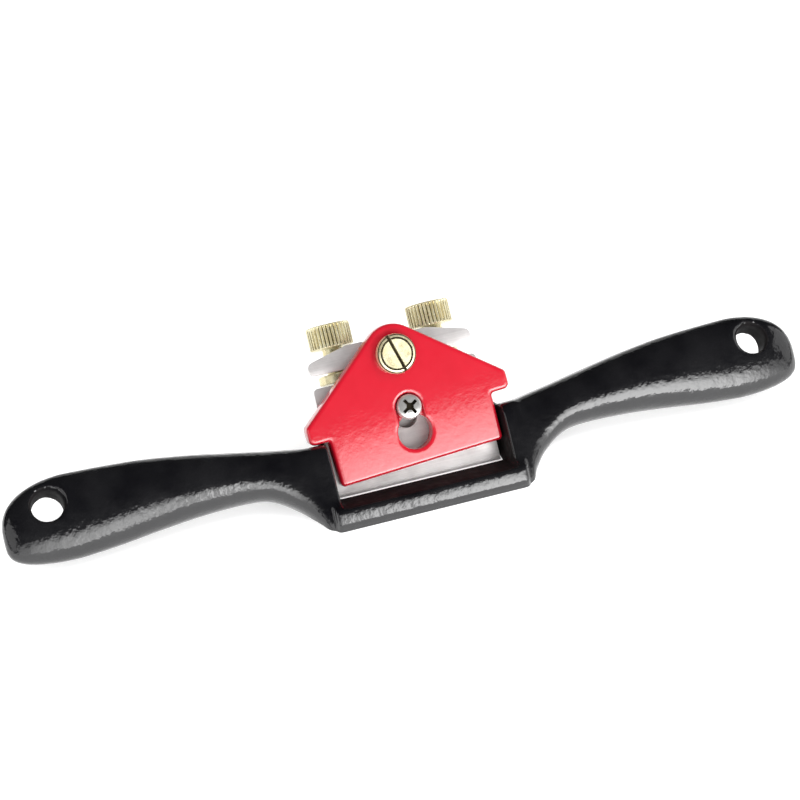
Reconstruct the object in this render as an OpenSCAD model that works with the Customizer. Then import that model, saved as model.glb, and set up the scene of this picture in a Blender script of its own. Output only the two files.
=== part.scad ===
/* [Body] */
// Length over both handle ends
tool_length = 249; // [246:1:256]
// Length of the sole from side to side
sole_length = 65; // [64:0.5:66]
// Angle of the bed above the sole, in degrees
bed_angle = 45; // [45]
// Toe, from its front wall to the cutting edge
toe_depth = 14; // [13:0.1:14.4]
// Heel, from the cutting edge to the back of the sole
heel_depth = 13.5; // [13:0.1:15]
// Height of the toe's front wall
toe_wall = 2.3; // [2:0.1:2.6]
// Height of the ridge along the toe
toe_ridge = 6.2; // [6:0.1:6.4]
// Gap between the toe and the cutting edge at the sole
mouth_gap = 2.0; // [1:0.1:2.5]
// Thickness of the plate that carries the blade
bed_thickness = 5.2; // [4.6:0.1:5.6]
// Diameter of the hanging hole in each handle
hang_hole_d = 9.4; // [7:0.2:10]
// Distance of each hanging hole from the middle of the tool
hang_hole_x = 110.4; // [107:0.2:111]

/* [Blade] */
// Width of the blade
blade_width = 51.5; // [49:0.5:52]
// Length of the blade along the bed
blade_length = 44.2; // [43.8:0.1:44.4]
// Thickness of the blade
blade_thickness = 2.4; // [2:0.1:2.4]
// Angle of the bevel under the cutting edge, in degrees
bevel_angle = 30; // [25:1:35]
// Width of the slot around the centre screw
blade_slot_w = 7; // [6:0.5:8]
// Gap between the blade and each side cheek
side_gap = 1.4; // [0.5:0.1:1.6]

/* [Lever cap] */
// Height of the cap from its lower edge to its peak
cap_height = 43; // [42.6:0.1:43.4]
// Width across the cap's lower part
cap_width = 51.8; // [50:0.2:52]
// Width across the eaves
cap_eaves = 63.8; // [62:0.2:64]
// Thickness of the cap
cap_thickness = 5; // [4.5:0.1:5.2]
// Tilt of the cap away from the blade, in degrees
cap_tilt = 7; // [6:0.5:7]
// Slope of the roof edges, in degrees
roof_slope = 39; // [38:0.5:40]
// Turn of the cap about the centre screw, in degrees
cap_skew = 3.4; // [0:0.2:3.4]
// Diameter of the large end of the keyhole
keyhole_d = 10.6; // [10:0.1:11]
// Width of the sunk track that the centre screw's head runs in
keyhole_track_w = 8.2; // [8:0.1:8.4]
// Width of the slot that the centre screw's shank runs in
keyhole_slot_w = 4.8; // [4.6:0.1:5]
// Travel from the clamped place to the large end of the keyhole
keyhole_travel = 7.1; // [6.8:0.1:7.4]

/* [Screws and adjusters] */
// Diameter of the lever cap screw's head
cap_screw_head_d = 12; // [11:0.1:12.4]
// Thread diameter of the lever cap screw
cap_screw_d = 6; // [5:0.5:6]
// Diameter of the centre screw's head
centre_head_d = 7.6; // [7:0.1:7.6]
// Thread diameter of the centre screw
centre_screw_d = 4; // [3.5:0.5:4]
// Distance between the two adjusting studs
stud_spacing = 31.6; // [31:0.1:32]
// Thread diameter of the adjusting studs
stud_d = 5; // [4:0.5:5]
// Diameter over the knurl of each nut
knob_d = 13.4; // [12:0.1:13.6]
// Height of each nut's knurled knob
knob_h = 7.2; // [6:0.1:7.4]
// Number of knurl ridges round each knob
knurl_count = 34; // [20:1:36]
// Diameter of each nut's flange
flange_d = 12.5; // [12:0.1:12.8]
// Diameter of each nut's neck
neck_d = 6.4; // [6:0.1:6.4]

/* [Hidden] */
$fn = 64;

// Radial clearance of a thread or pin in its hole, and the gap left between faces that only touch
running = 0.05;
touch = 0.02;
beyond = 1;

// The cutting edge lies ahead of the origin, which is on the sole in the middle of the heel
edge_y = -(heel_depth + blade_thickness * sqrt(2)) / 2;
bed_slope = [cos(bed_angle), sin(bed_angle)];
pocket_half = blade_width / 2 + side_gap;
bed_back = blade_thickness + bed_thickness;
cheek_in = pocket_half - 3;
sole_half = sole_length / 2;

// Heights up the bed, measured from the cutting edge
cap_foot = 4.9;
centre_screw_s = 21.7;
bed_top = 31;
notch_low = 33.4;
notch_high = 37.2;
flange_low = 33.9;
flange_high = 36.7;
ear_step = 12.9;
ridge_run = 2.7;
tongue_half = 8.4;
tongue_top = 41.5;
blade_slot_low = 15.9;
blade_slot_high = 29;

// Distances up the cap from its lower edge
peak_r = 9;
peak_y = cap_height - peak_r;
eave_low = 14.3;
eave_r = 1.8;
track_depth = 1.6;

// The adjusting studs run behind the blade, parallel to the bed
stud_depth = blade_thickness + neck_d / 2 + 0.2;
stud_foot = 21;
stud_tip = 50.4;
boss_top = 31.6;
boss_r = 5;
knob_low = blade_length + 0.4;

// Stations along the handle: distance from the middle, low and high limits up the bed, back and front
// limits off the blade's face, and squareness of the section
shoulder = 104;
stations = [
    [cheek_in, -10.9, 16.6, -8.4, 9.8, 6],
    [sole_half - 1.4, -10.7, 16.8, -8.4, 9.7, 6],
    [sole_half + 1.7, -6.3, 17.1, -7.8, 9.1, 3.8],
    [sole_half + 6, -1.2, 17.8, -6.9, 8.8, 3],
    [sole_half + 13, 3.4, 19.0, -5.8, 9.2, 2.5],
    [53.0, 4.7, 20.4, -5.1, 9.6, 2.3],
    [67.0, 4.4, 22.9, -4.2, 10.4, 2.2],
    [81.0, 3.1, 24.8, -3.4, 10.7, 2.2],
    [93.0, 1.7, 25.6, -2.6, 10.6, 2.2],
    [shoulder, 0.9, 26.0, -1.9, 10.2, 2.3]
];
steps_per_span = 2;
dome_steps = 7;
section_sides = 24;

// A point given as distance up the bed and height off the blade's face, as [y, z] from the cutting edge
function bed_point(s, h) = [s * bed_slope[0] - h * bed_slope[1], s * bed_slope[1] + h * bed_slope[0]];

// Smooth curve through four rows of numbers, t from 0 to 1 between the second and the third
function through(a, b, c, d, t) =
    b + (c - a) * t / 2 + (2 * a - 5 * b + 4 * c - d) * t * t / 2 + (3 * b - a - 3 * c + d) * t * t * t / 2;

function station(i) = stations[max(0, min(len(stations) - 1, i))];

// The rounded end of the handle: sections that shrink towards the tip, t from 0 to 1
function dome(t) =
    let (last = stations[len(stations) - 1], mid_s = 10.7, mid_h = (last[3] + last[4]) / 2, a = 86 * t)
    [
        shoulder + (tool_length / 2 - shoulder) * sin(a) / sin(86),
        mid_s + (last[1] - mid_s) * pow(cos(a), 0.5),
        mid_s + (last[2] - mid_s) * pow(cos(a), 0.75),
        mid_h + (last[3] - mid_h) * pow(cos(a), 0.85),
        mid_h + (last[4] - mid_h) * pow(cos(a), 0.85),
        last[5]
    ];

// Points along an arc
function arc(x, y, r, from, to, steps) = [
    for (i = [0 : steps]) let (a = from + (to - from) * i / steps) [x + r * cos(a), y + r * sin(a)]
];

function power(v, e) = sign(v) * pow(abs(v), e);

// One ring of points, as [x, up the bed, off the bed]
function ring(row) = [
    for (k = [0 : section_sides - 1])
    let (a = 360 * (k + 0.5) / section_sides)
    [
        row[0],
        (row[1] + row[2]) / 2 + (row[2] - row[1]) / 2 * power(cos(a), 2 / row[5]),
        (row[3] + row[4]) / 2 + (row[4] - row[3]) / 2 * power(sin(a), 2 / row[5])
    ]
];

handle_rows = concat(
    [for (i = [0 : len(stations) - 2], j = [0 : steps_per_span - 1])
        through(station(i - 1), station(i), station(i + 1), station(i + 2), j / steps_per_span)],
    [for (j = [0 : dome_steps]) dome(j / dome_steps)]
);

// Axes along X, up the bed, and off the blade's face, from the middle of the cutting edge
module on_bed() {
    translate([0, edge_y, 0]) rotate([bed_angle, 0, 0]) children();
}

// A flat shape in [y, z], drawn out along X about the middle plane
module along_x(width) {
    rotate([90, 0, 90]) translate([0, 0, -width / 2]) linear_extrude(width) children();
}

// Axes of the cap: along X, up the cap, and off its underside, from the middle of its lower edge
module on_cap() {
    on_bed()
    translate([0, centre_screw_s, 0]) rotate([0, 0, cap_skew])
    translate([0, cap_foot - centre_screw_s, touch]) rotate([cap_tilt, 0, 0]) children();
}

// A flat shape from the points of its right half, listed from the bottom up
module both_sides(right) {
    polygon(concat(right, [for (i = [len(right) - 1 : -1 : 0]) [-right[i][0], right[i][1]]]));
}

// A rod or hole that lies along the bed, from one height to another
module stud_line(side, low, high, r) {
    translate([side * stud_spacing / 2, low, -stud_depth]) rotate([-90, 0, 0])
    cylinder(h = high - low, r = r);
}

// One handle with the cheek that it grows out of, on the right
module handle() {
    n = section_sides;
    last = len(handle_rows) - 1;
    on_bed() polyhedron(
        points = [for (row = handle_rows) each ring(row)],
        faces = concat(
            [[for (k = [0 : n - 1]) k]],
            [for (i = [0 : last - 1], k = [0 : n - 1])
                [i * n + k, (i + 1) * n + k, (i + 1) * n + (k + 1) % n]],
            [for (i = [0 : last - 1], k = [0 : n - 1])
                [i * n + k, (i + 1) * n + (k + 1) % n, i * n + (k + 1) % n]],
            [[for (k = [n - 1 : -1 : 0]) last * n + k]]
        )
    );
}

// The toe and the heel in one, with the plate for the bed behind. All of it is left too thick where the
// mouth, the blade's room and the sole are cut, so that each of those is one clean face.
module middle() {
    corner_x = stud_spacing / 2 + boss_r + 1;
    back_low = bed_point(13, -bed_back);
    back_high = bed_point(24, -bed_back);
    translate([0, edge_y, 0]) along_x(sole_length - 5) polygon([
        [-toe_depth, -beyond], [-toe_depth, toe_wall], [-toe_depth + ridge_run, toe_ridge], [0, toe_ridge],
        [0, -beyond]
    ]);
    translate([0, edge_y, 0]) along_x(2 * cheek_in + 2) polygon([
        [-mouth_gap / 2, -beyond], [-mouth_gap / 2, toe_wall], bed_point(24, 0), back_high, back_low,
        [heel_depth, toe_wall], [heel_depth, -beyond]
    ]);
    on_bed() translate([0, 0, -bed_back]) linear_extrude(bed_thickness + beyond) both_sides([
        [pocket_half + 1, 14], [pocket_half + 1, 17], [corner_x, bed_top], [tongue_half, bed_top],
        each arc(0, tongue_top - tongue_half, tongue_half, 0, 84, 6)
    ]);
}

// Everything that is cleared away between the cheeks: the mouth, the throat and the room for the blade
module blade_room() {
    high = 60;
    deep = 2 * beyond;
    translate([0, edge_y, 0]) along_x(2 * pocket_half) polygon([
        bed_point(blade_thickness, -blade_thickness) - [deep, deep], bed_point(high, -blade_thickness),
        bed_point(high, high), [-toe_depth + ridge_run, toe_ridge + 20],
        [-toe_depth + ridge_run, toe_ridge], [-mouth_gap - 0.4, 1.6], [-mouth_gap, 0], [-mouth_gap, -deep]
    ]);
}

module hang_hole(side) {
    on_bed() translate([side * hang_hole_x, 16.7, 4]) rotate([-16, 0, 0])
    cylinder(h = 40, d = hang_hole_d, center = true);
}

module body_casting() {
    color("black")
    difference() {
        union() {
            middle();
            on_bed() for (side = [-1, 1]) stud_line(side, stud_foot - 4, boss_top, boss_r);
            handle();
            mirror([1, 0, 0]) handle();
        }
        translate([0, 0, -tool_length / 2]) cube(tool_length, center = true);
        blade_room();
        on_bed() for (side = [-1, 1]) stud_line(side, stud_foot, boss_top + beyond, stud_d / 2 + touch);
        on_bed() translate([0, centre_screw_s, -20]) cylinder(h = 20, d = centre_screw_d + 2 * running);
        hang_hole(-1);
        hang_hole(1);
    }
}

// The right half of the blade's outline, from the cutting edge to the middle of its top
function blade_edge() =
    let (half = blade_width / 2, corner = 1.5, ear_r = 2.1)
    concat(
        [[half, 0]],
        arc(half - corner, notch_low - corner, corner, 0, 90, 4),
        [[tongue_half, notch_low], [tongue_half, notch_high]],
        arc(half - ear_r, notch_high + ear_r, ear_r, -90, 75, 8),
        [[ear_step, blade_length]]
    );

module blade_outline() {
    round_low = blade_slot_low + blade_slot_w / 2;
    round_high = blade_slot_high - blade_slot_w / 2;
    difference() {
        both_sides(blade_edge());
        translate([-blade_slot_w / 2, round_low]) square([blade_slot_w, round_high - round_low]);
        translate([0, round_low]) circle(d = blade_slot_w);
        translate([0, round_high]) circle(d = blade_slot_w);
    }
}

module blade() {
    bevel_length = blade_thickness / tan(bevel_angle);
    color("silver")
    on_bed() difference() {
        translate([0, 0, -blade_thickness]) linear_extrude(blade_thickness) blade_outline();
        along_x(blade_width + 2) polygon([
            [0, 0], [bevel_length, -blade_thickness], [bevel_length, -blade_thickness - beyond],
            [-beyond, -blade_thickness - beyond], [-beyond, 0]
        ]);
    }
}

// The right half of the cap's outline, from the lower edge to the peak
function cap_edge() =
    let (
        eave_x = cap_eaves / 2 - eave_r,
        eave_top = peak_y + (peak_r - eave_r) / cos(roof_slope) - eave_x * tan(roof_slope)
    )
    concat(
        [[cap_width / 2 - 0.8, 0], [cap_width / 2, 0.8], [cap_width / 2, eave_low]],
        arc(eave_x, eave_low + eave_r, eave_r, -90, 0, 4),
        arc(eave_x, eave_top, eave_r, 0, 90 - roof_slope, 3),
        arc(0, peak_y, peak_r, 90 - roof_slope, 87, 6)
    );

module keyhole_line(w, low, high) {
    translate([-w / 2, low]) square([w, high - low]);
    translate([0, high]) circle(d = w);
}

module lever_cap() {
    // Places of the two screws along the tilted cap
    clamp = (centre_screw_s - cap_foot) / cos(cap_tilt);
    wide = clamp - keyhole_travel;
    lean = cap_thickness * tan(cap_tilt);
    color("crimson")
    on_cap() difference() {
        linear_extrude(cap_thickness) both_sides(cap_edge());
        translate([0, wide, -beyond]) cylinder(h = cap_thickness + 2 * beyond, d = keyhole_d);
        translate([0, 0, -beyond]) linear_extrude(cap_thickness + 2 * beyond)
            keyhole_line(keyhole_slot_w, wide, clamp + lean / 2);
        translate([0, 0, cap_thickness - track_depth]) linear_extrude(track_depth + beyond)
            keyhole_line(keyhole_track_w, wide, clamp + lean);
        translate([0, peak_y, -beyond])
            cylinder(h = cap_thickness + 2 * beyond, d = cap_screw_d + 2 * running);
    }
}

module lever_cap_screw() {
    tip_r = 1.8;
    head_gap = 0.5;
    head_h = 2.4;
    tip = -(peak_y - tip_r) * tan(cap_tilt) + touch;
    color("gold")
    on_cap() translate([0, peak_y, 0]) difference() {
        union() {
            translate([0, 0, cap_thickness + head_gap]) cylinder(h = head_h, d = cap_screw_head_d);
            translate([0, 0, tip + 1]) cylinder(h = cap_thickness + head_gap - tip, d = cap_screw_d);
            translate([0, 0, tip]) cylinder(h = 2, r = tip_r);
        }
        rotate(-76) translate([-10, -0.65, cap_thickness + head_gap + head_h - 1.2]) cube([20, 1.3, 2]);
    }
}

module centre_screw() {
    // The head's underside clears the highest point of the sunk track beneath it
    seat = (centre_screw_s - cap_foot + centre_head_d / 2 + 0.2) * tan(cap_tilt)
        + (cap_thickness - track_depth) / cos(cap_tilt) + 2 * touch;
    head_h = 2.6;
    color("silver")
    on_bed() translate([0, centre_screw_s, 0]) difference() {
        union() {
            translate([0, 0, seat]) cylinder(h = head_h, d = centre_head_d);
            translate([0, 0, -bed_back + 0.3]) cylinder(h = bed_back + seat, d = centre_screw_d);
        }
        for (turn = [20, 110]) rotate(turn) translate([-2.1, -0.45, seat + head_h - 1.5])
            cube([4.2, 0.9, 2]);
    }
}

module adjusting_stud(side) {
    color("silver")
    on_bed() stud_line(side, stud_foot, stud_tip, stud_d / 2);
}

// The knurled outline: two points for each ridge and two for each groove
function knurl() = [
    for (i = [0 : knurl_count - 1], j = [0 : 3])
    let (a = 360 * (i + j / 4) / knurl_count, r = j < 2 ? knob_d / 2 : knob_d / 2 - 0.45)
    [r * cos(a), r * sin(a)]
];

module adjusting_nut(side) {
    color("gold")
    on_bed() difference() {
        union() {
            stud_line(side, flange_low, flange_high, flange_d / 2);
            stud_line(side, flange_low, knob_low + knob_h, neck_d / 2);
            translate([side * stud_spacing / 2, knob_low, -stud_depth]) rotate([-90, 0, 0])
                linear_extrude(knob_h) polygon(knurl());
        }
        stud_line(side, flange_low - beyond, knob_low + knob_h + beyond, stud_d / 2 + running);
    }
}

module left_adjusting_stud() {
    adjusting_stud(-1);
}

module right_adjusting_stud() {
    adjusting_stud(1);
}

module left_adjusting_nut() {
    adjusting_nut(-1);
}

module right_adjusting_nut() {
    adjusting_nut(1);
}

body_casting();
blade();
lever_cap();
lever_cap_screw();
centre_screw();
left_adjusting_stud();
right_adjusting_stud();
left_adjusting_nut();
right_adjusting_nut();
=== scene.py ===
import math

import bmesh
import bpy
from mathutils import Matrix, Vector


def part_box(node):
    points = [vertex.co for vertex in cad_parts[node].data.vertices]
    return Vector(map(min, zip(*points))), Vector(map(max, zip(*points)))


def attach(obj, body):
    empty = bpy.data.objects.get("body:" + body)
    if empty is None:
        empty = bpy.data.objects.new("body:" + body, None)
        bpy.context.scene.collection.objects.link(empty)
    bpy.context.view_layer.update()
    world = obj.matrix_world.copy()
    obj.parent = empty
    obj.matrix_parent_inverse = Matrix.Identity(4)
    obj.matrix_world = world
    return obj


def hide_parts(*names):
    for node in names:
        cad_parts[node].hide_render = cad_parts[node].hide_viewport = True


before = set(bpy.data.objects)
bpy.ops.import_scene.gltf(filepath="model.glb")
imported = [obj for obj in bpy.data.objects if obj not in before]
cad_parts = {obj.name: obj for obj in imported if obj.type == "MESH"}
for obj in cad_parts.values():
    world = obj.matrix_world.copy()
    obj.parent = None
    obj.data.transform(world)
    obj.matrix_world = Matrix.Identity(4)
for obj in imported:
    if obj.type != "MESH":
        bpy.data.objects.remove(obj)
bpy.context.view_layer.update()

# Lengths in this script are millimetres until a piece is placed in the frame, which is in metres.
MM = 0.001
EDGE_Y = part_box("blade")[0][1] / MM
BLADE_THICK = 2.4
BLADE_HALF = 25.75
POCKET_HALF = 27.15
BED_BACK = 7.6
BED_TOP = 31.0
STUD_X = 15.8
STUD_DEPTH = 5.8
CENTRE_SCREW_S = 21.7
CAP_FOOT = 4.9
CAP_TILT = 7.0
CAP_SKEW = 3.4
CAP_THICK = 5.0
CAP_PEAK = 34.0
CAP_TRAVEL = 7.1
TRACK_DEPTH = 1.6
HEAD_R = 3.8
SCREW_HOLE_R = 2.05
STUD_LOW = 21.0
STUD_HOLE_R = 2.52

BED = Matrix.Translation((0, EDGE_Y, 0)) @ Matrix.Rotation(math.radians(45), 4, "X")
CENTRE = BED @ Matrix.Translation((0, CENTRE_SCREW_S, 0))
CAP = (
    CENTRE
    @ Matrix.Rotation(math.radians(CAP_SKEW), 4, "Z")
    @ Matrix.Translation((0, CAP_FOOT - CENTRE_SCREW_S, 0.02))
    @ Matrix.Rotation(math.radians(CAP_TILT), 4, "X")
)
# Lays an outline in (y, z) out and draws it along X
SIDEWAYS = Matrix(((0, 0, 1, 0), (1, 0, 0, 0), (0, 1, 0, 0), (0, 0, 0, 1)))


# ---------------------------------------------------------------- mesh helpers

def arc(x, y, r, start, end, steps):
    """Points along an arc, angles in degrees."""
    points = []
    for i in range(steps + 1):
        a = math.radians(start + (end - start) * i / steps)
        points.append((x + r * math.cos(a), y + r * math.sin(a)))
    return points


def face_outwards(mesh, merge=0):
    """Turns a mesh's normals outwards, after joining points nearer to each other than merge."""
    bm = bmesh.new()
    bm.from_mesh(mesh)
    if merge:
        bmesh.ops.remove_doubles(bm, verts=bm.verts, dist=merge)
    bmesh.ops.recalc_face_normals(bm, faces=bm.faces)
    bm.to_mesh(mesh)
    bm.free()


def solid(name, points, faces, matrix=None):
    """A mesh object in the scene, from points and faces, with its normals turned outwards."""
    mesh = bpy.data.meshes.new(name)
    mesh.from_pydata([tuple(p) for p in points], [], faces)
    if matrix is not None:
        mesh.transform(matrix)
    obj = bpy.data.objects.new(name, mesh)
    bpy.context.scene.collection.objects.link(obj)
    face_outwards(mesh)
    return obj


def prism(name, outline, low, high, matrix=None):
    """A flat outline drawn out along its own Z."""
    n = len(outline)
    points = [(x, y, low) for x, y in outline] + [(x, y, high) for x, y in outline]
    faces = [tuple(range(n - 1, -1, -1)), tuple(range(n, 2 * n))]
    faces += [(i, (i + 1) % n, n + (i + 1) % n, n + i) for i in range(n)]
    return solid(name, points, faces, matrix)


def band(a, b, sides):
    """The faces between two rings of points, from the number of each ring's first point."""
    return [(a + k, a + (k + 1) % sides, b + (k + 1) % sides, b + k) for k in range(sides)]


def lathe(name, profile, sides, matrix=None, radius=None):
    """A closed turned solid about its own Z from (r, z) points. The end points lie on the axis.
    radius(r, z, angle) can change the radius round the turn."""
    points = [(0, 0, profile[0][1])]
    for r, z in profile[1:-1]:
        for k in range(sides):
            a = 2 * math.pi * k / sides
            rr = radius(r, z, a) if radius else r
            points.append((rr * math.cos(a), rr * math.sin(a), z))
    points.append((0, 0, profile[-1][1]))
    rings = len(profile) - 2
    last = len(points) - 1
    faces = [(0, 1 + (k + 1) % sides, 1 + k) for k in range(sides)]
    for i in range(rings - 1):
        faces += band(1 + i * sides, 1 + (i + 1) * sides, sides)
    top = 1 + (rings - 1) * sides
    faces += [(top + k, top + (k + 1) % sides, last) for k in range(sides)]
    return solid(name, points, faces, matrix)


def bake_modifiers(obj):
    """Replaces the object's mesh with the one that its modifiers give."""
    evaluated = obj.evaluated_get(bpy.context.evaluated_depsgraph_get())
    mesh = bpy.data.meshes.new_from_object(evaluated)
    obj.modifiers.clear()
    old = obj.data
    obj.data = mesh
    bpy.data.meshes.remove(old)


def combine(obj, other, operation):
    """Adds or cuts away another solid, which is then removed."""
    m = obj.modifiers.new("combine", "BOOLEAN")
    m.object = other
    m.operation = operation
    m.solver = "MANIFOLD"
    bake_modifiers(obj)
    bpy.data.objects.remove(other)


def cast(obj, voxel, rounds):
    """Gives a solid the soft edges and hollows of a sand casting."""
    m = obj.modifiers.new("cast", "REMESH")
    m.mode = "VOXEL"
    m.voxel_size = voxel
    m = obj.modifiers.new("soften", "SMOOTH")
    m.factor = 0.5
    m.iterations = rounds
    bake_modifiers(obj)


def place(obj, matrix, body, node, materials, smooth_angle=35):
    """Puts a finished piece in the frame, in place of its CAD node."""
    mesh = obj.data
    mesh.transform(Matrix.Scale(MM, 4) @ matrix)
    mesh.materials.clear()
    for material in materials:
        mesh.materials.append(material)
    mesh.shade_smooth()
    bm = bmesh.new()
    bm.from_mesh(mesh)
    limit = math.radians(smooth_angle)
    for edge in bm.edges:
        edge.smooth = len(edge.link_faces) == 2 and edge.calc_face_angle(0) < limit
    bm.to_mesh(mesh)
    bm.free()
    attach(obj, body)
    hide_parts(node)


# ---------------------------------------------------------------- materials

def set_stops(ramp, stops):
    """Gives a colour ramp its stops, as (place, colour)."""
    while len(ramp.elements) < len(stops):
        ramp.elements.new(0.5)
    for element, (position, colour) in zip(ramp.elements, stops):
        element.position = position
        element.color = (*colour, 1)


class Nodes:
    """Short calls for a material's nodes."""

    def __init__(self, name):
        self.material = bpy.data.materials.new(name)
        self.material.use_nodes = True
        self.tree = self.material.node_tree
        self.shader = self.tree.nodes["Principled BSDF"]
        self.place = self.add("ShaderNodeTexCoord").outputs["Object"]

    def add(self, kind, **values):
        node = self.tree.nodes.new(kind)
        for key, value in values.items():
            setattr(node, key, value)
        return node

    def link(self, a, b):
        self.tree.links.new(a, b)

    def stretched(self, scale):
        node = self.add("ShaderNodeMapping")
        node.inputs["Scale"].default_value = scale
        self.link(self.place, node.inputs["Vector"])
        return node.outputs["Vector"]

    def noise(self, scale, detail, roughness=0.5, vector=None):
        node = self.add("ShaderNodeTexNoise")
        node.inputs["Scale"].default_value = scale
        node.inputs["Detail"].default_value = detail
        node.inputs["Roughness"].default_value = roughness
        self.link(vector or self.place, node.inputs["Vector"])
        return node.outputs["Fac"]

    def ramp(self, value, stops):
        node = self.add("ShaderNodeValToRGB")
        set_stops(node.color_ramp, stops)
        self.link(value, node.inputs["Fac"])
        return node.outputs["Color"]

    def spread(self, value, low, high):
        """Maps a noise value, which is mostly between 0.3 and 0.7, onto a range."""
        node = self.add("ShaderNodeMapRange")
        node.inputs["From Min"].default_value = 0.3
        node.inputs["From Max"].default_value = 0.7
        node.inputs["To Min"].default_value = low
        node.inputs["To Max"].default_value = high
        self.link(value, node.inputs["Value"])
        return node.outputs["Result"]

    def bump(self, height, strength, distance, before=None):
        node = self.add("ShaderNodeBump")
        node.inputs["Strength"].default_value = strength
        node.inputs["Distance"].default_value = distance
        self.link(height, node.inputs["Height"])
        if before is not None:
            self.link(before, node.inputs["Normal"])
        return node.outputs["Normal"]

    def set(self, **values):
        for key, value in values.items():
            socket = self.shader.inputs[key.replace("_", " ")]
            if isinstance(value, bpy.types.NodeSocket):
                self.link(value, socket)
            else:
                socket.default_value = value


def enamel(name, dark, light, rough_low, rough_high, peel_depth, coat, coat_ior=1.5):
    """Gloss enamel over a casting: orange peel, a few fine pits, and patches that are a little duller."""
    n = Nodes(name)
    patches = n.noise(90, 4, 0.55)
    peel = n.noise(420, 2, 0.5)
    pebble = n.noise(1100, 2, 0.5)
    grain = n.noise(2600, 3, 0.6)
    colour = n.ramp(patches, [(0.3, dark), (0.7, light)])
    rough = n.spread(n.noise(260, 4, 0.6), rough_low, rough_high)
    first = n.bump(pebble, 0.35, peel_depth * 0.3, n.bump(peel, 0.35, peel_depth))
    normal = n.bump(grain, 0.12, 0.00006, first)
    n.set(Base_Color=colour, Roughness=rough, Normal=normal, Coat_Normal=normal)
    n.set(Specular_IOR_Level=0.12, Coat_Weight=coat, Coat_Roughness=0.06, Coat_IOR=coat_ior)
    return n.material


def ground_metal(name, dark, light, rough_low, rough_high):
    """Ground steel or iron: fine straight scratches along X, in slightly different depths."""
    n = Nodes(name)
    along = n.stretched((60, 2600, 2600))
    wide = n.stretched((14, 500, 500))
    lines = n.noise(1.0, 4, 0.65, along)
    bands = n.noise(1.0, 3, 0.5, wide)
    stains = n.noise(130, 4, 0.6)
    mixed = n.add("ShaderNodeMath", operation="MULTIPLY_ADD")
    n.link(lines, mixed.inputs[0])
    mixed.inputs[1].default_value = 0.6
    n.link(n.spread(stains, 0.0, 0.4), mixed.inputs[2])
    colour = n.ramp(mixed.outputs[0], [(0.2, dark), (0.75, light)])
    rough = n.spread(bands, rough_low, rough_high)
    n.set(Base_Color=colour, Roughness=rough, Metallic=0.6)
    n.set(Normal=n.bump(lines, 0.25, 0.00004, n.bump(bands, 0.12, 0.00005)))
    return n.material


def turned_metal(name, dark, light, rough_low, rough_high):
    """Bright turned or plated metal with faint tarnish and handling marks."""
    n = Nodes(name)
    tarnish = n.noise(300, 5, 0.6)
    marks = n.noise(1800, 3, 0.6)
    n.set(Base_Color=n.ramp(tarnish, [(0.3, dark), (0.65, light)]), Metallic=0.7)
    n.set(Roughness=n.spread(n.noise(700, 4, 0.6), rough_low, rough_high))
    n.set(Normal=n.bump(marks, 0.1, 0.00004))
    return n.material


BLACK = enamel("black_enamel", (0.003, 0.003, 0.004), (0.008, 0.008, 0.009), 0.25, 0.4, 0.0004, 1.0,
               1.6)
RED = enamel("red_enamel", (0.42, 0.005, 0.016), (0.46, 0.007, 0.020), 0.3, 0.4, 0.00005, 1.0, 1.8)
# Painted shade: a dark brown laid into the grooves and recesses of the turned pieces, where shade falls.
GROOVE_SHADE = enamel("painted_groove_shade", (0.018, 0.014, 0.008), (0.05, 0.04, 0.022), 0.6, 0.85, 0.0001, 0.0)
DULL = enamel("thin_enamel", (0.004, 0.004, 0.005), (0.012, 0.010, 0.010), 0.55, 0.8, 0.0003, 0.0)
STEEL = ground_metal("ground_steel", (0.66, 0.64, 0.63), (0.94, 0.92, 0.91), 0.26, 0.42)
IRON = ground_metal("ground_iron", (0.26, 0.25, 0.245), (0.46, 0.45, 0.44), 0.34, 0.5)
BRASS = turned_metal("turned_brass", (0.66, 0.57, 0.32), (0.88, 0.83, 0.58), 0.22, 0.36)
NICKEL = turned_metal("nickel_plate", (0.50, 0.49, 0.47), (0.68, 0.67, 0.65), 0.16, 0.28)


# ---------------------------------------------------------------- body casting

SOLE_HALF = 32.5
SHOULDER = 104.0
TOE_DEPTH = 14.0
TOE_WALL = 2.3
TOE_RIDGE = 6.2
TOE_TOP = 2.7 - TOE_DEPTH
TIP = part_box("body_casting")[1][0] / MM
TIP_S = 10.7
DOME_TURN = 89
HANG_X, HANG_S, HANG_H = 110.4, 16.7, 4
HANG_LEAN = -16
HANG_R = 4.7
MOUTH = 2
LEDGE = 1.2
SEAT_GAP = 0.02
# Distance from the middle, low and high limits up the bed, back and front limits off the blade's face,
# and squareness of the section
STATIONS = [
    (POCKET_HALF - 3, -10.9, 16.6, -8.4, 9.8, 6.0),
    (SOLE_HALF - 1.4, -10.7, 16.8, -8.4, 9.7, 6.0),
    (SOLE_HALF + 1.7, -6.3, 17.1, -7.8, 9.1, 3.8),
    (SOLE_HALF + 6, -1.2, 17.8, -6.9, 8.8, 3.0),
    (SOLE_HALF + 13, 3.4, 19.0, -5.8, 9.2, 2.5),
    (53.0, 4.7, 20.4, -5.1, 9.6, 2.3),
    (67.0, 4.4, 22.9, -4.2, 10.4, 2.2),
    (81.0, 3.1, 24.8, -3.4, 10.7, 2.2),
    (93.0, 1.7, 25.6, -2.6, 10.6, 2.2),
    (SHOULDER, 0.9, 26.0, -1.9, 10.2, 2.3),
]


def through(a, b, c, d, t):
    """Smooth curve through four numbers, t from 0 to 1 between the second and the third."""
    return (
        b + (c - a) * t / 2 + (2 * a - 5 * b + 4 * c - d) * t * t / 2
        + (3 * b - a - 3 * c + d) * t ** 3 / 2
    )


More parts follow.
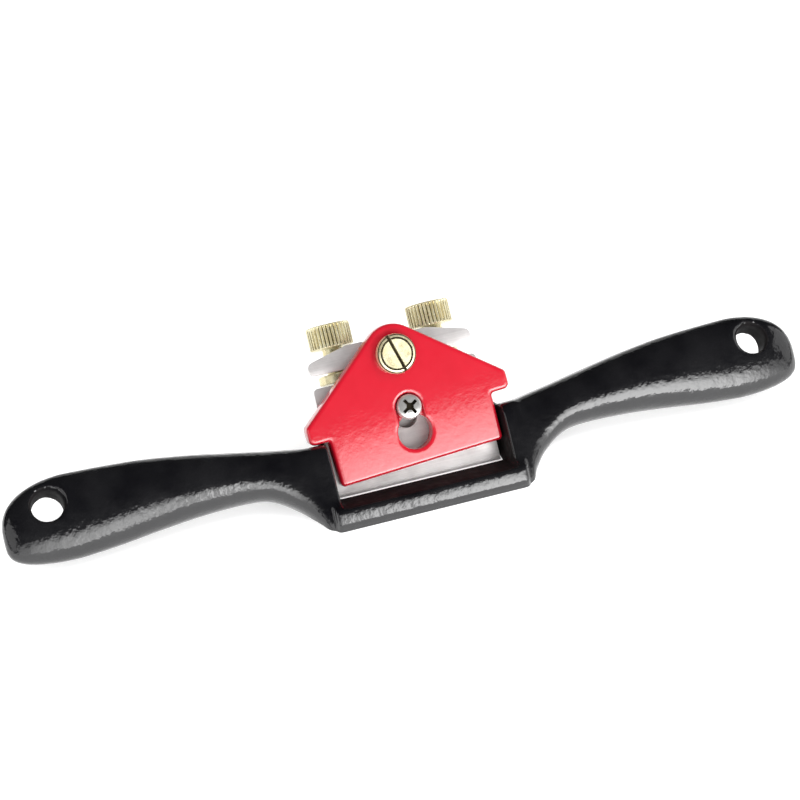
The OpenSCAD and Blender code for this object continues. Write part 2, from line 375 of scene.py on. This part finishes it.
def dome_row(t):
    """A section of the handle's rounded end, t from 0 to 1."""
    _, low_s, high_s, low_h, high_h, square = STATIONS[-1]
    a = math.radians(DOME_TURN * t)
    mid_h = (low_h + high_h) / 2
    shrink = math.cos(a)
    return (
        SHOULDER + (TIP - SHOULDER) * math.sin(a) / math.sin(math.radians(DOME_TURN)),
        TIP_S + (low_s - TIP_S) * shrink ** 0.5,
        TIP_S + (high_s - TIP_S) * shrink ** 0.75,
        mid_h + (low_h - mid_h) * shrink ** 0.85,
        mid_h + (high_h - mid_h) * shrink ** 0.85,
        square,
    )


def handle_rows(per_span, dome_steps):
    """All sections of a handle: smooth between the stations, then the rounded end."""
    rows = []
    last = len(STATIONS) - 1
    for i in range(last):
        a, b, c, d = (STATIONS[max(0, min(last, k))] for k in (i - 1, i, i + 1, i + 2))
        for j in range(per_span):
            t = j / per_span
            rows.append(tuple(through(a[k], b[k], c[k], d[k], t) for k in range(6)))
    return rows + [dome_row(j / dome_steps) for j in range(dome_steps + 1)]


def handle(side):
    """One handle with the cheek that it grows out of."""
    sides = 56
    rows = handle_rows(8, 22)
    points = []
    for x, low_s, high_s, low_h, high_h, square in rows:
        for k in range(sides):
            a = 2 * math.pi * (k + 0.5) / sides
            c, s = math.cos(a), math.sin(a)
            points.append((
                side * x,
                (low_s + high_s) / 2 + (high_s - low_s) / 2 * math.copysign(abs(c) ** (2 / square), c),
                (low_h + high_h) / 2 + (high_h - low_h) / 2 * math.copysign(abs(s) ** (2 / square), s),
            ))
    faces = [tuple(range(sides)), tuple(range(len(points) - sides, len(points)))]
    for i in range(len(rows) - 1):
        faces += band(i * sides, (i + 1) * sides, sides)
    return solid("handle", points, faces, BED)


def bed_point(s, h):
    """A point up the bed and off the blade's face, as (y, z) from the cutting edge."""
    k = math.sqrt(0.5)
    return (k * (s - h), k * (s + h))


def across(name, outline, half_width):
    """A solid with an outline in (y, z) from the cutting edge, from one side to the other."""
    return prism(name, outline, -half_width, half_width, Matrix.Translation((0, EDGE_Y, 0)) @ SIDEWAYS)


def mirrored(right):
    """The whole outline from its right half, listed from the bottom up."""
    return right + [(-x, y) for x, y in reversed(right)]


def hang_axes(side):
    """Axes of a hanging hole, from halfway through the handle."""
    middle = Matrix.Translation((side * HANG_X, HANG_S, HANG_H))
    return BED @ middle @ Matrix.Rotation(math.radians(HANG_LEAN), 4, "X")


def along_stud(side):
    """Axes of a stud: Z up the bed, from the height of the cutting edge."""
    foot = Matrix.Translation((side * STUD_X, 0, -STUD_DEPTH))
    return BED @ foot @ Matrix.Rotation(math.radians(-90), 4, "X")


def body_casting():
    """The casting: handles, toe, heel, bed plate and bosses are joined, cut out and softened.
    The sole, the bed and the holes for the studs and the screw are cut after that, so they stay sharp."""
    below = -1.6
    front = [(-TOE_DEPTH, TOE_WALL)]
    for t in (0.25, 0.5, 0.75):
        bulge = 0.2 * math.sin(math.pi * t)
        front.append((
            -TOE_DEPTH + (TOE_TOP + TOE_DEPTH) * t - bulge * 0.82,
            TOE_WALL + (TOE_RIDGE - TOE_WALL) * t + bulge * 0.57,
        ))
    toe = across("toe", [
        (-TOE_DEPTH, below), *front, (TOE_TOP, TOE_RIDGE), (0, TOE_RIDGE), (0, below),
    ], SOLE_HALF - 2.5)
    heel_back, heel_top, bed_high, bed_low = 13.5, 2.5, 24, 13
    heel = across("heel", [
        (-1, below), (-1, heel_top), bed_point(bed_high, 0), bed_point(bed_high, -BED_BACK),
        bed_point(bed_low, -BED_BACK), (heel_back, heel_top), (heel_back, below),
    ], POCKET_HALF)
    plate_half, corner = POCKET_HALF + 1, STUD_X + 6
    tab_r, tab_s = 8.4, 33.1
    plate = prism("plate", mirrored([
        (plate_half, 12), (plate_half, 17), (corner, BED_TOP), (tab_r, BED_TOP),
        *arc(0, tab_s, tab_r, 0, 84, 10),
    ]), -BED_BACK, 0, BED)
    body = handle(1)
    for part in (handle(-1), toe, heel, plate):
        combine(body, part, "UNION")
    for side in (-1, 1):
        boss = [(0, 13), (1.5, 13.2), (3.6, 14.6), (5, 17), (5, 31.2), (4.6, 31.6), (0, 31.6)]
        combine(body, lathe("boss", boss, 40, along_stud(side)), "UNION")
    foot = bed_point(0, -BLADE_THICK)
    wall = -1.98
    # The room for the blade stops above the sole. Only the narrower mouth goes through it.
    room = across("room", [
        (foot[0] + LEDGE - foot[1], LEDGE), bed_point(60, -BLADE_THICK), bed_point(60, 60),
        (TOE_TOP, TOE_RIDGE + 20), (TOE_TOP, TOE_RIDGE), (-1.95, 1.95), (wall, LEDGE),
    ], POCKET_HALF)
    combine(body, room, "DIFFERENCE")
    mouth = across("mouth", [
        (foot[0] - 4 - foot[1], -4), (foot[0] + LEDGE + 0.1 - foot[1], LEDGE + 0.1),
        (wall, LEDGE + 0.1), (-MOUTH, 0), (-MOUTH, -4),
    ], BLADE_HALF + 0.35)
    combine(body, mouth, "DIFFERENCE")
    # A hanging hole: its radius and distance from halfway through the handle, out to the flared rim
    for side in (-1, 1):
        flare = [(HANG_R, -3.6), (4.85, -4.6), (5.4, -5.6), (6.6, -6.6), (8.0, -7.4), (8.0, -20)]
        profile = [(0, -20), *reversed(flare), *((r, -z) for r, z in flare), (0, 20)]
        combine(body, lathe("hole", profile, 64, hang_axes(side)), "DIFFERENCE")
    cast(body, 0.6, 9)
    reach = 200
    corners = [(-reach, -reach), (reach, -reach), (reach, reach), (-reach, reach)]
    combine(body, prism("floor", corners, -reach, 0), "DIFFERENCE")
    seat = across("seat", [
        bed_point(2.0, -BLADE_THICK - SEAT_GAP), bed_point(60, -BLADE_THICK - SEAT_GAP),
        bed_point(60, 0.5), bed_point(2.0, 0.5),
    ], BLADE_HALF + 0.15)
    combine(body, seat, "DIFFERENCE")
    for side in (-1, 1):
        hole = [(0, STUD_LOW), (STUD_HOLE_R, STUD_LOW), (STUD_HOLE_R, 40), (0, 40)]
        combine(body, lathe("stud_hole", hole, 40, along_stud(side)), "DIFFERENCE")
    tapped = [(0, -20), (SCREW_HOLE_R, -20), (SCREW_HOLE_R, 0), (0, 0)]
    combine(body, lathe("screw_hole", tapped, 40, CENTRE), "DIFFERENCE")
    place(body, Matrix(), "body", "body_casting", [BLACK, IRON, DULL])
    seat_normal = Vector((0, -math.sqrt(0.5), math.sqrt(0.5)))
    edge = Vector((0, EDGE_Y * MM, 0))
    holes = [hang_axes(side).inverted() @ Matrix.Scale(1 / MM, 4) for side in (-1, 1)]
    for face in body.data.polygons:
        on_sole = abs(face.center.z) < 2e-6
        depth = (face.center - edge).dot(seat_normal) / MM
        on_seat = abs(depth + BLADE_THICK + SEAT_GAP) < 0.002 and face.normal.dot(seat_normal) > 0.99
        x, y = abs(face.center.x) / MM, face.center.y / MM - EDGE_Y
        in_throat = x < POCKET_HALF + 0.2 and y > TOE_TOP + 0.3 and depth > -BLADE_THICK - 0.1
        in_hole = x > 100 and any((m @ face.center).xy.length < 5.3 for m in holes)
        face.material_index = 1 if on_sole or on_seat else 2 if in_throat or in_hole else 0
    body.name = "body"


# ---------------------------------------------------------------- blade and cap

def flat_plate(name, outline, holes, low, high, chamfer):
    """A flat plate with finely rounded edges, made as a filled curve with holes."""
    curve = bpy.data.curves.new(name, "CURVE")
    curve.dimensions = "2D"
    curve.fill_mode = "BOTH"
    curve.extrude = (high - low) / 2 - chamfer
    curve.bevel_depth = chamfer
    curve.bevel_resolution = 2
    curve.offset = -chamfer
    for points in [outline, *holes]:
        spline = curve.splines.new("POLY")
        spline.points.add(len(points) - 1)
        spline.use_cyclic_u = True
        for point, (x, y) in zip(spline.points, points):
            point.co = (x, y, 0, 1)
    obj = bpy.data.objects.new(name, curve)
    bpy.context.scene.collection.objects.link(obj)
    evaluated = obj.evaluated_get(bpy.context.evaluated_depsgraph_get())
    mesh = bpy.data.meshes.new_from_object(evaluated)
    bpy.data.objects.remove(obj)
    mesh.transform(Matrix.Translation((0, 0, (low + high) / 2)))
    piece = bpy.data.objects.new(name, mesh)
    bpy.context.scene.collection.objects.link(piece)
    face_outwards(mesh, 1e-4)
    return piece


def blade():
    """The iron, with its slot, the notches for the nuts and the bevel underneath."""
    notch_low, notch_high, corner, ear, tongue = 33.4, 37.2, 1.5, 2.1, 8.4
    edge = mirrored([
        (BLADE_HALF, 0), *arc(BLADE_HALF - corner, notch_low - corner, corner, 0, 90, 6),
        (tongue, notch_low), (tongue, notch_high),
        *arc(BLADE_HALF - ear, notch_high + ear, ear, -90, 75, 12), (12.9, 44.2),
    ])
    slot_low, slot_high, slot_r = 19.4, 25.5, 3.5
    slot = arc(0, slot_low, slot_r, 180, 360, 20) + arc(0, slot_high, slot_r, 0, 180, 20)
    piece = flat_plate("blade", edge, [slot], -BLADE_THICK, 0, 0.18)
    bevel = BLADE_THICK / math.tan(math.radians(30))
    wedge = prism("wedge", [
        (-1, 1), (0.05, 1), (0.05, -0.03), (bevel, -BLADE_THICK), (bevel, -BLADE_THICK - 1),
        (-1, -BLADE_THICK - 1),
    ], -30, 30, SIDEWAYS)
    combine(piece, wedge, "DIFFERENCE")
    place(piece, BED, "blade", "blade", [STEEL], 25)


def cap_edge():
    """The right half of the cap's outline, from the lower edge to the peak."""
    slope, eave_r, peak_r = 39, 1.8, 9
    side_half, eave_half, eave_low = 25.9, 31.9, 14.3
    eave_x = eave_half - eave_r
    eave_top = CAP_PEAK + (peak_r - eave_r) / math.cos(math.radians(slope))
    eave_top -= eave_x * math.tan(math.radians(slope))
    return [
        (25.1, 0), (side_half, 0.8), (side_half, eave_low),
        *arc(eave_x, eave_low + eave_r, eave_r, -90, 0, 8),
        *arc(eave_x, eave_top, eave_r, 0, 90 - slope, 6), *arc(0, CAP_PEAK, peak_r, 90 - slope, 88, 12),
    ]


def slot_line(name, width, low, high, bottom, top):
    """A cutter with straight sides and a round upper end."""
    r = width / 2
    outline = [(r, low), *arc(0, high, r, 0, 180, 24), (-r, low)]
    return prism(name, outline, bottom, top)


def gap(point, a, b):
    """Distance from a point to the line between two others."""
    t = max(0, min(1, (point - a).dot(b - a) / (b - a).length_squared))
    return (point - a - (b - a) * t).length


def lever_cap():
    """The cap with its keyhole and threaded hole, a slight crown and a rounded upper edge."""
    clamp = (CENTRE_SCREW_S - CAP_FOOT) / math.cos(math.radians(CAP_TILT))
    wide = clamp - CAP_TRAVEL
    lean = CAP_THICK * math.tan(math.radians(CAP_TILT))
    cap = prism("lever_cap", mirrored(cap_edge()), 0, CAP_THICK)
    wide_r, narrow_width, track_width = 5.3, 4.8, 8.2
    hole = [(0, -1), (wide_r, -1), (wide_r, 7), (0, 7)]
    combine(cap, lathe("wide", hole, 64, Matrix.Translation((0, wide, 0))), "DIFFERENCE")
    combine(cap, slot_line("narrow", narrow_width, wide, clamp + lean / 2, -1, 7), "DIFFERENCE")
    combine(cap, slot_line("track", track_width, wide, clamp + lean, CAP_THICK - TRACK_DEPTH, 7),
            "DIFFERENCE")
    thread = [(0, -1), (3.05, -1), (3.05, 7), (0, 7)]
    combine(cap, lathe("thread", thread, 48, Matrix.Translation((0, CAP_PEAK, 0))), "DIFFERENCE")
    cast(cap, 0.36, 5)
    middle, edge_round = 19.0, 1.0
    outline = [Vector(p) for p in mirrored(cap_edge())]
    sides = list(zip(outline, outline[1:] + outline[:1]))
    for v in cap.data.vertices:
        if v.co.z > CAP_THICK / 2:
            v.co.z -= 0.34 * ((v.co.y - middle) / 23) ** 2 * min(1, (v.co.z - CAP_THICK / 2) / 2)
        if v.co.z > 1:
            inside = min(gap(v.co.xy, a, b) for a, b in sides)
            if inside < edge_round:
                drop = edge_round * (1 - math.sqrt(1 - (1 - inside / edge_round) ** 2))
                v.co.z = 1 + (v.co.z - 1) * (1 - drop / (CAP_THICK - 1))
    place(cap, CAP, "lever_cap", "lever_cap", [RED])


# ---------------------------------------------------------------- screws and adjusters

def lever_cap_screw():
    """The brass screw through the cap. Its tip stands on the blade."""
    low, head = CAP_THICK + 0.5, 2.4
    r, tip = 6.0, -(CAP_PEAK - 1.8) * math.tan(math.radians(CAP_TILT)) + 0.02
    top = low + head
    profile = [
        (0, tip), (1.5, tip), (1.8, tip + 0.3), (1.8, tip + 1.2), (2.9, tip + 1.8), (2.9, low - 0.3),
        (3.0, low), (r - 0.3, low), (r, low + 0.3), (r, top - 0.75), (r - 0.12, top - 0.4),
        (r - 0.45, top - 0.12), (r - 0.9, top), (r - 1.0, top), (r - 1.1, top - 0.5),
        (r - 1.45, top - 0.5), (r - 1.6, top), (2.5, top), (0, top),
    ]
    screw = lathe("lever_cap_screw", profile, 96)
    slot = prism("slot", [(-10, -0.5), (10, -0.5), (10, 0.5), (-10, 0.5)], top - 1.5, top + 2,
                 Matrix.Rotation(math.radians(104), 4, "Z"))
    combine(screw, slot, "DIFFERENCE")
    axes = CAP @ Matrix.Translation((0, CAP_PEAK, 0))
    place(screw, axes, "lever_cap_screw", "lever_cap_screw", [BRASS, GROOVE_SHADE], 30)

    def in_groove(rr, z):
        return rr < r - 0.2 and top - 1.6 < z < top - 0.25 and (rr > r - 2 or z > low)

    # Painted shade in the ring groove under the head's rim.
    paint_groove_shade(screw, axes, in_groove)


def centre_screw():
    """The cross-recess screw whose head holds the cap."""
    seat = screw_seat()
    head, r = 2.6, HEAD_R
    top = seat + head
    profile = [
        (0, -BED_BACK + 0.3), (1.6, -BED_BACK + 0.3), (2.0, -BED_BACK + 0.7), (2.0, seat), (r - 0.15, seat),
        (r, seat + 0.15), (r, seat + 1.1), *[
            (r - 0.75 + 0.75 * math.cos(a), top - 1.3 + 1.1 * math.sin(a))
            for a in (math.radians(d) for d in (15, 35, 55, 75))
        ], (1.5, top - 0.03), (0, top),
    ]
    screw = lathe("centre_screw", profile, 72)
    for turn in (32, 122):
        arm = prism("arm", [(-2.6, -0.48), (2.6, -0.48), (2.6, 0.48), (-2.6, 0.48)], top - 1.8, top + 2,
                    Matrix.Rotation(math.radians(turn), 4, "Z"))
        combine(screw, arm, "DIFFERENCE")
    cone = [(0, top - 2.1), (0.9, top - 1.4), (1.3, top + 1), (0, top + 1)]
    combine(screw, lathe("cone", cone, 32), "DIFFERENCE")
    place(screw, CENTRE, "centre_screw", "centre_screw", [NICKEL, GROOVE_SHADE], 30)
    # Painted shade in the cross recess.
    paint_groove_shade(screw, CENTRE, lambda rr, z: rr < 2.7 and top - 2.2 < z < top - 0.45)


def screw_seat():
    """Height of the centre screw's seat above the blade's face."""
    slope = math.radians(CAP_TILT)
    reach = CENTRE_SCREW_S - CAP_FOOT + HEAD_R + 0.2
    return reach * math.tan(slope) + (CAP_THICK - TRACK_DEPTH) / math.cos(slope) + 0.04


def paint_groove_shade(obj, to_axes, in_groove):
    """Paints shade into the grooves of a turned piece by giving their faces its second material, a dark
    colour.
    in_groove(r, z) is in the piece's own axes."""
    m = to_axes.inverted() @ Matrix.Scale(1 / MM, 4)
    for face in obj.data.polygons:
        c = m @ face.center
        face.material_index = 1 if in_groove(c.xy.length, c.z) else 0


def adjusting_nut(name, side):
    """A nut in one piece: flange in the blade's notch, neck, and a knurled knob hollowed at its end."""
    knob_low, knob_high, knob_r, ridges = 44.6, 51.8, 6.7, 34
    depth = 0.8

    def knurl(r, z, a):
        from_low = min(1.0, max(0.0, (z - knob_low - 0.2) / 0.5))
        from_high = min(1.0, max(0.0, (knob_high - 0.2 - z) / 0.5))
        inner = from_low * from_high
        if r < knob_r - 0.9 or inner == 0:
            return r
        groove = (0.5 + 0.5 * math.cos(ridges * a)) ** 2.4
        return r - depth * inner * groove

    steps = [knob_low + 0.5 + (knob_high - knob_low - 1.0) * i / 8 for i in range(9)]
    profile = [
        (0, 33.9), (5.9, 33.9), (6.25, 34.2), (6.25, 36.4), (5.95, 36.7), (3.5, 36.7), (3.2, 37.0),
        (3.2, 44.3), (3.5, knob_low), (knob_r - 0.7, knob_low), (knob_r - 0.25, knob_low + 0.12),
        (knob_r, knob_low + 0.4),
        *[(knob_r, z) for z in steps],
        (knob_r, knob_high - 0.4), (knob_r - 0.25, knob_high - 0.12), (knob_r - 0.7, knob_high),
        (4.4, knob_high), (4.2, knob_high - 0.15), (3.2, knob_high - 0.15), (2.9, knob_high - 0.3),
        (0, knob_high - 0.3),
    ]
    nut = lathe(name, profile, ridges * 10, radius=knurl)
    hole = [(0, 30), (2.55, 30), (2.55, 55), (0, 55)]
    combine(nut, lathe("hole", hole, 48), "DIFFERENCE")
    body = name.replace("adjusting_", "")
    place(nut, along_stud(side), body, name, [BRASS, GROOVE_SHADE], 32)

    def in_groove(r, z):
        return knob_r - 0.9 < r < knob_r - 0.55 and knob_low + 0.6 < z < knob_high - 0.6

    # Painted shade in the grooves of the knurl.
    paint_groove_shade(nut, along_stud(side), in_groove)


def adjusting_stud(name, side):
    """A threaded rod: the thread is cut where the rod stands out of the boss."""
    high, pitch, sides = 50.4, 0.8, 36
    thread_from, crest = 31.0, 2.48
    steps = int((high - 0.5 - thread_from) / (pitch / 8))
    profile = [(0, STUD_LOW), (2.3, STUD_LOW), (2.5, STUD_LOW + 0.2), (2.5, thread_from)]
    profile += [(crest, thread_from + (i + 1) * pitch / 8) for i in range(steps)]
    profile += [(2.0, high), (0, high)]

    def thread(r, z, a):
        if z <= thread_from or r != crest:
            return r
        wave = 0.5 + 0.5 * math.cos(2 * math.pi * z / pitch - a)
        return 2.06 + 0.42 * wave

    stud = lathe(name, profile, sides, radius=thread)
    place(stud, along_stud(side), "body", name, [NICKEL], 60)


body_casting()
blade()
lever_cap()
lever_cap_screw()
centre_screw()
for prefix, hand in (("left", -1), ("right", 1)):
    adjusting_nut(prefix + "_adjusting_nut", hand)
    adjusting_stud(prefix + "_adjusting_stud", hand)


# ---------------------------------------------------------------- camera

def camera(azimuth, elevation, roll, distance, target, lens, shift):
    """The scene's camera, at a distance from its target in metres and an angle from straight in front."""
    a, e = math.radians(azimuth), math.radians(elevation)
    back = Vector((math.sin(a) * math.cos(e), -math.cos(a) * math.cos(e), math.sin(e)))
    data = bpy.data.cameras.new("camera")
    data.lens = lens
    data.sensor_width = 36
    data.shift_x, data.shift_y = shift
    data.clip_start = 0.01
    obj = bpy.data.objects.new("camera", data)
    bpy.context.scene.collection.objects.link(obj)
    turn = back.to_track_quat("Z", "Y").to_matrix().to_4x4() @ Matrix.Rotation(math.radians(roll), 4, "Z")
    obj.matrix_world = Matrix.Translation(target + back * distance) @ turn
    bpy.context.scene.camera = obj


TARGET = MM * (BED @ Vector((0, CENTRE_SCREW_S, 5)))
camera(
    azimuth=-18.33, elevation=41.92, roll=-0.77, distance=0.6716, target=TARGET, lens=101.25,
    shift=(-0.0094, 0.0091),
)


# ---------------------------------------------------------------- stage and light

def stage():
    """A plain pale floor, in metres, just under the sole."""
    n = Nodes("pale_floor")
    shades = [(0.3, (0.88, 0.88, 0.88)), (0.7, (0.9, 0.9, 0.9))]
    n.set(Base_Color=n.ramp(n.noise(3, 2), shades), Roughness=0.9)
    reach, under = 6.0, 0.0001
    corners = [(-reach, -reach, 0), (reach, -reach, 0), (reach, reach, 0), (-reach, reach, 0)]
    floor = solid("stage_floor", corners, [(0, 1, 2, 3)], Matrix.Translation((0, 0, -under)))
    n.set(Emission_Color=(1, 1, 1, 1), Emission_Strength=0.35)
    floor.data.materials.append(n.material)


def card(name, azimuth, distance, width, low, high, radiance, profile=None, shows=True):
    """An upright soft light, in metres, that stands round the tool and faces it.
    A profile dims it across its width and up its height."""
    a = math.radians(azimuth)
    back = Vector((math.sin(a), -math.cos(a), 0))
    data = bpy.data.lights.new(name, "AREA")
    data.shape = "RECTANGLE"
    data.size, data.size_y = width, high - low
    data.energy = radiance * math.pi * width * (high - low)
    if profile:
        data.use_nodes = True
        nodes, links = data.node_tree.nodes, data.node_tree.links
        uv = nodes.new("ShaderNodeSeparateXYZ")
        links.new(nodes.new("ShaderNodeTexCoord").outputs["UV"], uv.inputs[0])
        product = nodes.new("ShaderNodeMath")
        product.operation = "MULTIPLY"
        for socket, axis, stops in zip(product.inputs, "XY", profile):
            ramp = nodes.new("ShaderNodeValToRGB")
            set_stops(ramp.color_ramp, [(position, (level, level, level)) for position, level in stops])
            links.new(uv.outputs[axis], ramp.inputs["Fac"])
            links.new(ramp.outputs["Color"], socket)
        links.new(product.outputs[0], nodes["Emission"].inputs["Strength"])
    obj = bpy.data.objects.new(name, data)
    bpy.context.scene.collection.objects.link(obj)
    middle = Matrix.Translation(back * distance + Vector((0, 0, (low + high) / 2)))
    obj.matrix_world = middle @ back.to_track_quat("Z", "Y").to_matrix().to_4x4()
    obj.visible_camera = False
    obj.visible_glossy = shows


stage()
# The front light's level across its width and up its height, as (place, level)
FRONT_ACROSS = [
    (0.2, 0.2), (0.44, 0.55), (0.475, 0.75), (0.503, 0.25), (0.527, 0.9), (0.545, 1.0), (0.61, 1.0),
    (0.66, 0.7), (0.75, 0.25), (1.0, 0.1),
]
FRONT_UP = [(0.0, 1.0), (0.55, 0.95), (0.8, 0.6), (1.0, 0.2)]
# Name, azimuth, distance, width, lower and upper edge, radiance
card("front_card", 8, 1.0, 2.6, 0.0, 0.605, 9.0, (FRONT_ACROSS, FRONT_UP))
card("left_card", -72, 1.2, 1.0, 0.1, 0.8, 1.0)
card("right_card", 85, 1.2, 1.0, 0.1, 0.8, 1.0)
card("back_card", 175, 1.3, 3.0, 0.05, 0.6, 0.6)
card("key", 65, 0.7, 0.5, 0.9, 1.3, 14, shows=False)
world = bpy.data.worlds.new("world")
world.use_nodes = True
world.node_tree.nodes["Background"].inputs["Color"].default_value = (1, 1, 1, 1)
world.node_tree.nodes["Background"].inputs["Strength"].default_value = 1.0
world.cycles_visibility.glossy = False
bpy.context.scene.world = world
bpy.context.scene.view_settings.view_transform = "Standard"
